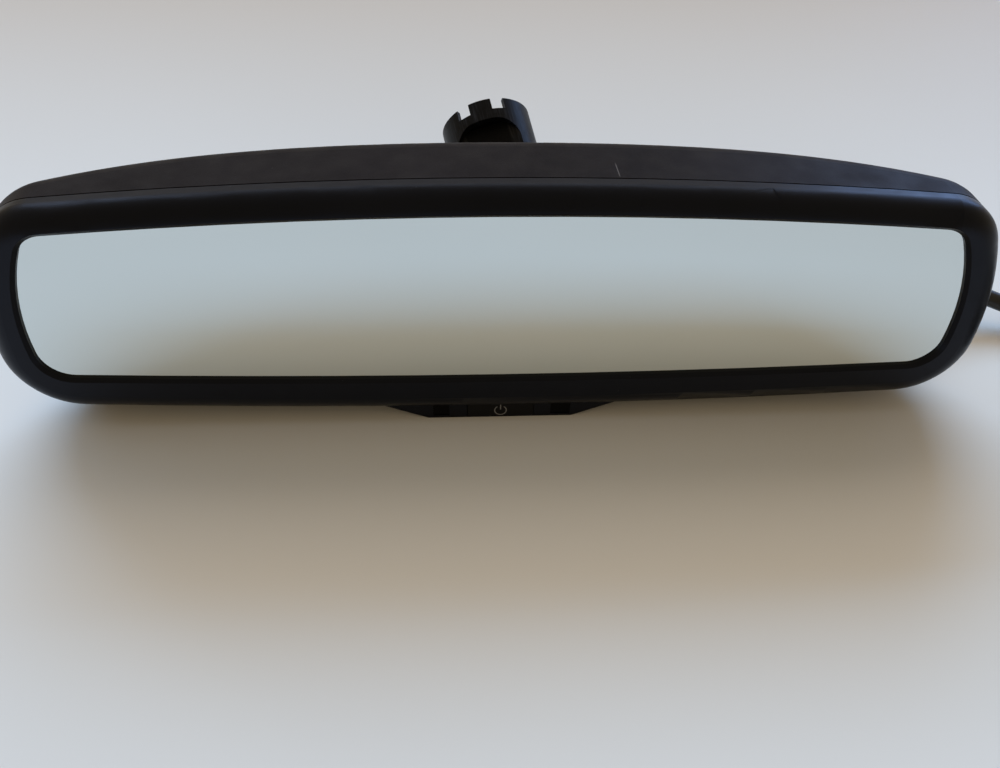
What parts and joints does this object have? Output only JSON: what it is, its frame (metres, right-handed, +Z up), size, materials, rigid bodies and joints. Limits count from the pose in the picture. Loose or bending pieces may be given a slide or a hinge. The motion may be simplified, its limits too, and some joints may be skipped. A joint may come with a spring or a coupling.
{
  "type": "interior rearview mirror",
  "caption": "Automatic-dimming interior rearview mirror on a double-ball arm with a push-on round collar mount and a wired cable.",
  "frame": {"origin": "middle of the mirror's bounding box on the table it stands on, cable left out", "axes": "+Z up, +X to the right of someone facing the glass, glass faces -Y and leans back 10 degrees"},
  "size_m": [0.3507, 0.154, 0.0675],
  "materials": {
    "bezel_plastic": "fine satin black",
    "housing_plastic": "finely textured black",
    "mirror_glass": "polished reflector",
    "clear_glass": "polished",
    "gel": "clear gel",
    "seal_epoxy": "cured epoxy",
    "copper_strip": "plated copper strip",
    "foam": "closed-cell foam",
    "carrier_plastic": "plain moulded",
    "board": "green solder mask",
    "chip_plastic": "moulded epoxy",
    "connector_plastic": "moulded nylon",
    "button_plastic": "satin black with a pale printed icon",
    "window_plastic": "smoked gloss",
    "lens_plastic": "milky clear",
    "plate_steel": "zinc plated",
    "screw_steel": "zinc plated",
    "ball_steel": "turned, lightly greased",
    "spring_steel": "bright drawn wire",
    "socket_zinc": "black coated die casting",
    "seat_nylon": "natural nylon",
    "arm_metal": "black powder coat",
    "collar_plastic": "glass-filled black nylon",
    "boot_rubber": "matt rubber",
    "cable_jacket": "satin PVC jacket",
    "tie_nylon": "black nylon"
  },
  "bodies": {
    "mount": {"mount_collar": "collar_plastic", "snap_ring": "spring_steel", "mount_socket": "socket_zinc", "mount_socket_keeper": "socket_zinc"},
    "mount_swivel": {"mount_seat_outer": "seat_nylon"},
    "mount_tilt": {"mount_seat_inner": "seat_nylon"},
    "arm": {"arm_tube": "arm_metal", "head_ball_stud": "ball_steel", "mount_ball_stud": "ball_steel"},
    "head_tilt": {"head_seat_inner": "seat_nylon"},
    "head_swivel": {"head_seat_outer": "seat_nylon"},
    "button": {"power_button": "button_plastic", "switch_plunger": "connector_plastic"},
    "head": {"bezel": "bezel_plastic", "rear_housing": "housing_plastic", "front_glass": "mirror_glass", "rear_glass": "clear_glass", "gel_layer": "gel", "cell_seal": "seal_epoxy", "bus_clip_top": "copper_strip", "bus_clip_bottom": "copper_strip", "foam_pad": "foam", "carrier_plate": "carrier_plastic", "carrier_screws": "screw_steel", "circuit_board": "board", "board_components": "chip_plastic", "header_connector": "connector_plastic", "ambient_sensor": "chip_plastic", "ambient_light_pipe": "lens_plastic", "chin_board": "board", "glare_sensor": "chip_plastic", "status_led": "lens_plastic", "switch_body": "chip_plastic", "led_window": "window_plastic", "sensor_window": "window_plastic", "pivot_plate": "plate_steel", "pivot_screws": "screw_steel", "head_socket": "socket_zinc", "head_socket_ring": "socket_zinc", "harness_plug": "connector_plastic", "harness_boot": "boot_rubber", "harness_cable": "cable_jacket", "harness_coil": "cable_jacket", "cable_tie": "tie_nylon", "harness_connector": "connector_plastic"}
  },
  "joints": [
    {"name": "mount_yaw", "type": "hinge", "parent": "mount", "child": "mount_swivel", "pos_m": [0.00284, 0.03521, 0.01565], "axis": [0.0157, 0.3071, 0.9516], "range_deg": [-8, 8]},
    {"name": "mount_pitch", "type": "hinge", "parent": "mount_swivel", "child": "mount_tilt", "pos_m": [0.00284, 0.03521, 0.01565], "axis": [0.9987, -0.051, 0], "range_deg": [-8, 8]},
    {"name": "mount_twist", "type": "hinge", "parent": "mount_tilt", "child": "arm", "pos_m": [0.00284, 0.03521, 0.01565], "axis": [0.0485, 0.9503, -0.3074], "range_deg": [-20, 20]},
    {"name": "head_twist", "type": "hinge", "parent": "arm", "child": "head_tilt", "pos_m": [0, -0.02043, 0.03365], "axis": [0.0485, 0.9503, -0.3074], "range_deg": [-15, 15]},
    {"name": "head_pitch", "type": "hinge", "parent": "head_tilt", "child": "head_swivel", "pos_m": [0, -0.02043, 0.03365], "axis": [0.9987, -0.051, 0], "range_deg": [-15, 15]},
    {"name": "head_yaw", "type": "hinge", "parent": "head_swivel", "child": "head", "pos_m": [0, -0.02043, 0.03365], "axis": [0.0157, 0.3071, 0.9516], "range_deg": [-15, 15]},
    {"name": "button_press", "type": "slide", "parent": "head", "child": "button", "axis": [0, 0.9848, -0.1736], "range_m": [0, 0.0005], "stiffness_N_per_m": 1500}
  ]
}
